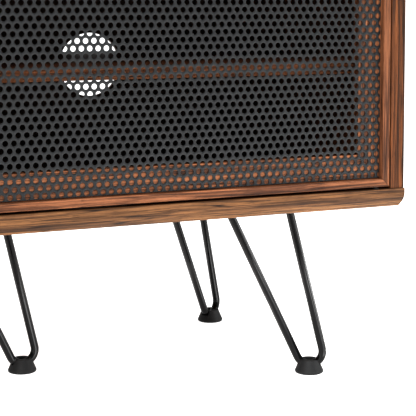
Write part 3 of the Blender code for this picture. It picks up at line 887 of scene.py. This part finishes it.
def build_catch(side, word):
    """A magnet catch on the divider, with two steel poles and two sunk screws."""
    node = f"magnet_catch_{word}"
    low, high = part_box(node)
    middle = middle_of(node)
    half_pole = Vector((0.8, 4, 13)) * MM
    pole_inset = Vector((0.05, 0.25, 0.05)) * MM
    pole_offset, screw_offset, screw_depth = 2.6 * MM, 17.5 * MM, 2.4 * MM
    poles = [Vector((middle.x + x, low.y + half_pole.y, middle.z))
             for x in (-pole_offset, pole_offset)]
    slots = [box_bmesh(pole - half_pole - 0.4 * MM * BACK, pole + half_pole) for pole in poles]
    face = high.x if side > 0 else low.x
    heads = [Vector((face, middle.y, middle.z + z)) for z in (-screw_offset, screw_offset)]
    counterbores = cylinder_bmesh(heads, RIGHT, 3.7 * MM, 5 * MM, 32)
    body = solid_of(box_bmesh(low, high, 1.0 * MM, 3), *slots, counterbores)
    piece_of(body, f"{node}_moulded", NYLON, "carcass", [node])

    pole = mesh_of(box_bmesh(pole_inset - half_pole, half_pole - pole_inset, 0.15 * MM, 1))
    piece_from(copies(pole, [Matrix.Translation(place) for place in poles]), f"{node}_poles", STEEL,
               "carcass")
    outward = side * RIGHT
    scatter(f"{node}_screws", pan_head(3.1 * MM, 1.7 * MM),
            [(place - screw_depth * outward, outward) for place in heads])


def build_strike(word):
    """The steel plate on the back of a door that its catch holds."""
    node = f"door_{word}_strike"
    low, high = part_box(node)
    plate = plate_bmesh((high.x - low.x, high.z - low.z, high.y - low.y), 2.5 * MM, 0.2 * MM)
    plate.transform(stand_on(middle_of(node), BACK))
    piece_from(plate, f"{node}_pressed", STEEL, f"door_{word}", [node])


def build_doors():
    for side, word in SIDES:
        build_door_frame(side, word)
        perforated_sheet(side, word)
        build_knob(word)
        for end, into in (("bottom", UP), ("top", -UP)):
            build_pin(word, end, into)
            build_bush(word, end)
        build_catch(side, word)
        build_strike(word)


# -------- legs and feet

def leg_frame(end, word):
    """A leg's side, 1 if it is aft or else -1, and its plate's matrix, from its foot's place.

    In its own frame the plate lies along X, and Z = 0 is the bottom board's underside.
    """
    side = -1 if word == "left" else 1
    aft = 1 if end == "rear" else -1
    turn = 0.0 if end == "middle" else side * aft * CORNER_TURN
    rotation = Matrix.Rotation(turn, 4, "Z")
    foot = middle_of(f"foot_{end}_{word}")
    foot.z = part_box("bottom_board")[0].z
    offset = rotation @ Vector((side * FOOT_REACH, -aft * FOOT_LEAN, 0))
    return side, aft, Matrix.Translation(foot - offset) @ rotation


def tangent_angle(top, centre, side):
    """Direction from the bend's centre to where a straight rod from its top meets the bend."""
    offset = top - centre
    return math.atan2(offset.y, offset.x) + side * math.acos(BEND_RADIUS / offset.length)


def rod_path(side, aft, leg_height):
    """Centreline of the bent rod in its plate's frame, from one rod top to the other."""
    centre = Vector((FOOT_REACH, ROD_LIFT + BEND_RADIUS - leg_height))
    tops = [Vector((end * ROD_SPREAD / 2, -PLATE_SIZE.z)) for end in (-1, 1)]
    into_plate = Vector((0, 0.7 * PLATE_SIZE.z))
    start = tangent_angle(tops[0], centre, 1)
    finish = tangent_angle(tops[1], centre, -1) + 2 * math.pi
    steps, bend = 36, []
    for step in range(steps + 1):
        angle = start + (finish - start) * step / steps
        bend.append(centre + BEND_RADIUS * Vector((math.cos(angle), math.sin(angle))))
    flat = [tops[0] + into_plate, tops[0], *bend, tops[1], tops[1] + into_plate]
    lean = -aft * FOOT_LEAN / (ROD_LIFT - leg_height)
    return [Vector((side * point.x, lean * point.y, point.y)) for point in flat]


def weld_bead(place, along):
    """The rippled fillet of weld round a rod's top, under the plate."""
    fillet = ((2.4, -0.6), (2.2, 0.5), (1.5, 1.5), (0.6, 2.6), (-0.3, 3.2))
    profile = [(ROD_RADIUS + out * MM, height * MM) for out, height in fillet]
    bm = turned_bmesh(profile + [(0, 3.0 * MM), (0, -0.6 * MM)], sides=56)
    start = DICE.uniform(0, math.pi)
    for vert in bm.verts:
        angle = math.atan2(vert.co.y, vert.co.x)
        swell = 1 + 0.035 * math.sin(15 * angle + start) + 0.03 * math.sin(4 * angle + 2 * start)
        vert.co.x *= swell
        vert.co.y *= swell
    bm.transform(stand_on(place, along))
    return bm


def build_leg(end, word):
    """A hairpin rod welded under a screw plate, its four screws, and the foot on its bend."""
    corner_radius, edge, screw_hole = 9 * MM, 0.5 * MM, 2.6 * MM
    side, aft, matrix = leg_frame(end, word)
    node = f"leg_{end}_{word}"
    path = rod_path(side, aft, matrix.translation.z)
    rod = tube_bmesh(path, ROD_RADIUS)
    plate = plate_bmesh(PLATE_SIZE, corner_radius, edge)
    bmesh.ops.translate(plate, verts=plate.verts, vec=-(PLATE_SIZE.z / 2 + PLATE_GAP) * UP)
    beads = [weld_bead(path[1], -UP), weld_bead(path[-2], -UP)]
    welded = solid_of(plate, rod, *beads, operation="UNION")
    holes = [Vector((x * PLATE_SCREWS.x / 2, y * PLATE_SCREWS.y / 2, 0)) for x in (-1, 1)
             for y in (-1, 1)]
    drills = cylinder_bmesh(holes, UP, screw_hole, 4 * PLATE_SIZE.z, 24)
    leg = solid_of(copies(welded, [Matrix()]), drills)
    leg.transform(matrix)
    piece_of(leg, f"{node}_welded", BLACK, "carcass", [node])
    places = [(matrix @ (hole - (PLATE_SIZE.z + PLATE_GAP) * UP), -UP) for hole in holes]
    scatter(f"{node}_screws", pan_head(4.4 * MM, 2.4 * MM), places)
    build_foot(f"foot_{end}_{word}", path, matrix)


def skirt_ribs(top_radius, top, foot_radius, foot):
    """A straight slope with fine moulded rings, as (radius, height) pairs from its top down."""
    rings, groove = 7, 0.10 * MM
    points = []
    for step in range(4 * rings + 1):
        share = step / (4 * rings)
        dip = groove if step % 4 == 2 else 0
        points.append((top_radius + (foot_radius - top_radius) * share - dip,
                       top + (foot - top) * share))
    return points


def build_foot(node, path, matrix):
    """A rubber skirt that widens to a rounded rim, slotted on top for the bend of the rod."""
    low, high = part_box(node)
    middle = middle_of(node)
    height, radius = high.z - low.z, (high.x - low.x) / 2
    eased, rim, rim_radius = 0.6 * MM, 2.4 * MM, 1.5 * MM
    profile = [(0, height), (COLLAR_RADIUS - 2 * eased, height)]
    profile += arc((COLLAR_RADIUS - eased, height - eased), eased, 80, 20, 4)
    profile += skirt_ribs(COLLAR_RADIUS, height - eased, radius, rim)
    profile += arc((radius - rim_radius, rim_radius), rim_radius, 0, -90, 6)
    profile += [(radius - 4 * MM, 0), (radius - 4.6 * MM, 0.6 * MM), (0, 0.6 * MM)]
    skirt = turned_bmesh(profile, Matrix.Translation((middle.x, middle.y, low.z)), 64)
    rod = tube_bmesh([matrix @ point for point in path], ROD_RADIUS + SLOT_CLEARANCE)
    half = Vector((2 * COLLAR_RADIUS, ROD_RADIUS + SLOT_CLEARANCE, height / 2))
    slot = box_bmesh(-half, half)
    centre = Vector((middle.x, middle.y, low.z + ROD_LIFT + half.z))
    slot.transform(Matrix.Translation(centre) @ matrix.to_3x3().to_4x4())
    piece_of(solid_of(skirt, rod, slot), f"{node}_moulded", RUBBER, "carcass", [node])


def build_legs():
    for _, word in SIDES:
        for end in ("front", "rear", "middle"):
            build_leg(end, word)


# -------- studio

WORLD_STRENGTH = 0.52
FLOOR_GLOW = 0.8               # keeps the studio floor as white as the background
FLOOR_RADIUS = 400
FLOOR_DROP = 0.2 * MM          # the floor lies this far under the feet
CARD_GLOW = 8.0                # seen only as gloss, on the rods
CARD_SIZE = (0.04, 1.15, 1 * MM)
CARD_AWAY = 0.05               # from a foot's middle to a card's near end
CARD_TURN = math.radians(-152)  # from straight back, so a card leads off to the front right

# Name, place, target, size and watts
SOFTBOXES = (("key_softbox", (-2.6, -4.4, 4.4), (0.4, -0.2, 0.3), (1.6, 1.6), 450),
             ("right_softbox", (3.0, -1.5, 1.4), (0.3, -0.2, 0.3), (0.5, 1.4), 40))

# The camera's place: from the object's middle, before the right door's sheet, above the floor
CAMERA_RIGHT, CAMERA_AWAY, CAMERA_HEIGHT = -0.0516, 1.2369, 0.4179
CAMERA_DOWN, CAMERA_TURN = math.radians(4.57), math.radians(-24.70)
CAMERA_LENS, CAMERA_SHIFT = 116.37, -0.25


def area_light(name, place, target, size, power):
    light = bpy.data.lights.new(name, "AREA")
    light.shape = "RECTANGLE"
    light.size, light.size_y = size
    light.energy = power
    obj = link(bpy.data.objects.new(name, light))
    obj.location = place
    obj.rotation_euler = (Vector(target) - Vector(place)).to_track_quat("-Z", "Y").to_euler()


def staged(name, mesh, material):
    """An object of the studio, which isn't part of the cabinet."""
    mesh.materials.append(material)
    obj = link(bpy.data.objects.new(name, mesh))
    return obj


def build_reflector():
    """Bright cards on the floor before the right-hand legs, which light a line on each rod."""
    width, length, thickness = CARD_SIZE
    card = mesh_of(box_bmesh((-width / 2, CARD_AWAY, 0),
                             (width / 2, CARD_AWAY + length, thickness), 0.3 * MM, 1))
    feet = [middle_of(f"foot_{end}_right") for end in ("front", "middle", "rear")]
    matrices = [Matrix.Translation((foot.x, foot.y, 0)) @ Matrix.Rotation(CARD_TURN, 4, "Z")
                for foot in feet]
    mesh = mesh_of(copies(card, matrices))
    cards = staged("reflector_cards", mesh, studio_white("reflector_card", CARD_GLOW))
    cards.visible_diffuse = False
    cards.visible_camera = False


def build_floor():
    bm = bmesh.new()
    bmesh.ops.create_circle(bm, cap_ends=True, segments=64, radius=FLOOR_RADIUS)
    floor = staged("floor", mesh_of(bm), studio_white("pale_floor", FLOOR_GLOW))
    floor.location.z = -FLOOR_DROP


def build_studio():
    """A white world, a white floor, soft lights and the reflector cards."""
    scene = bpy.context.scene
    scene.world = bpy.data.worlds.new("studio")
    scene.world.use_nodes = True
    background = scene.world.node_tree.nodes["Background"]
    background.inputs["Color"].default_value = (1, 1, 1, 1)
    background.inputs["Strength"].default_value = WORLD_STRENGTH
    build_floor()
    build_reflector()
    for softbox in SOFTBOXES:
        area_light(*softbox)
    scene.view_settings.view_transform = "Standard"
    scene.view_settings.look = "Medium High Contrast"


def build_camera():
    """The view from the front left, a little above the cabinet's middle."""
    data = bpy.data.cameras.new("camera")
    data.sensor_width = 36
    data.lens = CAMERA_LENS
    data.shift_y = CAMERA_SHIFT
    camera = link(bpy.data.objects.new("camera", data))
    sheet_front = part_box("door_right_mesh")[0].y
    camera.location = (CAMERA_RIGHT, sheet_front - CAMERA_AWAY, CAMERA_HEIGHT)
    camera.rotation_euler = (math.pi / 2 - CAMERA_DOWN, 0, CAMERA_TURN)
    bpy.context.scene.camera = camera


build_boards()
build_back_panels()
build_cam_caps()
build_base_screws()
build_back_wedges()
build_shelf_pins()
build_doors()
build_legs()
build_studio()
build_camera()
